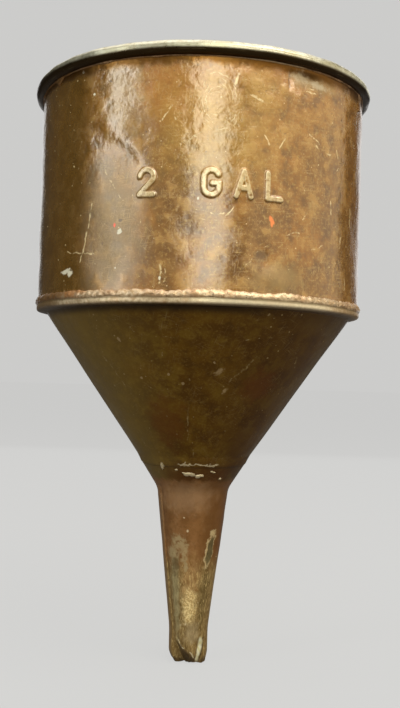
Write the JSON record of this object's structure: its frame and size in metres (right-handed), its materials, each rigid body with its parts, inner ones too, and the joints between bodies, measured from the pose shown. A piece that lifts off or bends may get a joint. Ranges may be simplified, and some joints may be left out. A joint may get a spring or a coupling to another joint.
{
  "type": "filling funnel",
  "caption": "Straight-sided copper filling funnel with a rolled brass rim, conical bottom, long tapered spout and a lift-out gauze strainer.",
  "frame": {"origin": "centre of the spout's open end", "axes": "+Z along the funnel's axis from the spout up to the mouth; -Y is the front, where the raised capacity mark is; +X to the right seen from the front"},
  "size_m": [0.2394, 0.2394, 0.4064],
  "materials": {
    "copper": "aged copper sheet with a brown patina, satin",
    "copper_spout": "aged copper sheet, dark reddish brown, worn at the end",
    "rim_brass": "tarnished pale brass, worn bright on top",
    "steel_wire": "drawn steel wire",
    "solder": "dull tin-lead solder, stained brown",
    "strainer_brass": "dull rolled brass",
    "gauze": "woven brass wire",
    "rivet_copper": "copper rivet"
  },
  "bodies": {
    "funnel": {"drum_wall": "copper", "cone": "copper", "spout": "copper_spout", "rim_bead": "rim_brass", "rim_wire": "steel_wire", "rim_solder": "solder", "drum_seam_solder": "solder", "cone_seam_solder": "solder", "shoulder_solder": "solder", "inner_shoulder_solder": "solder", "neck_solder": "solder", "inner_neck_solder": "solder", "strainer_ledge": "strainer_brass"},
    "strainer": {"strainer_frame": "strainer_brass", "strainer_clamp_ring": "strainer_brass", "strainer_cross_bars": "strainer_brass", "strainer_washer": "strainer_brass", "strainer_loop": "strainer_brass", "strainer_gauze": "gauze", "strainer_rivets": "rivet_copper"}
  },
  "joints": [
    {"name": "strainer_lift", "type": "slide", "parent": "funnel", "child": "strainer", "axis": [0, 0, 1], "range_m": [0, 0.225]}
  ]
}
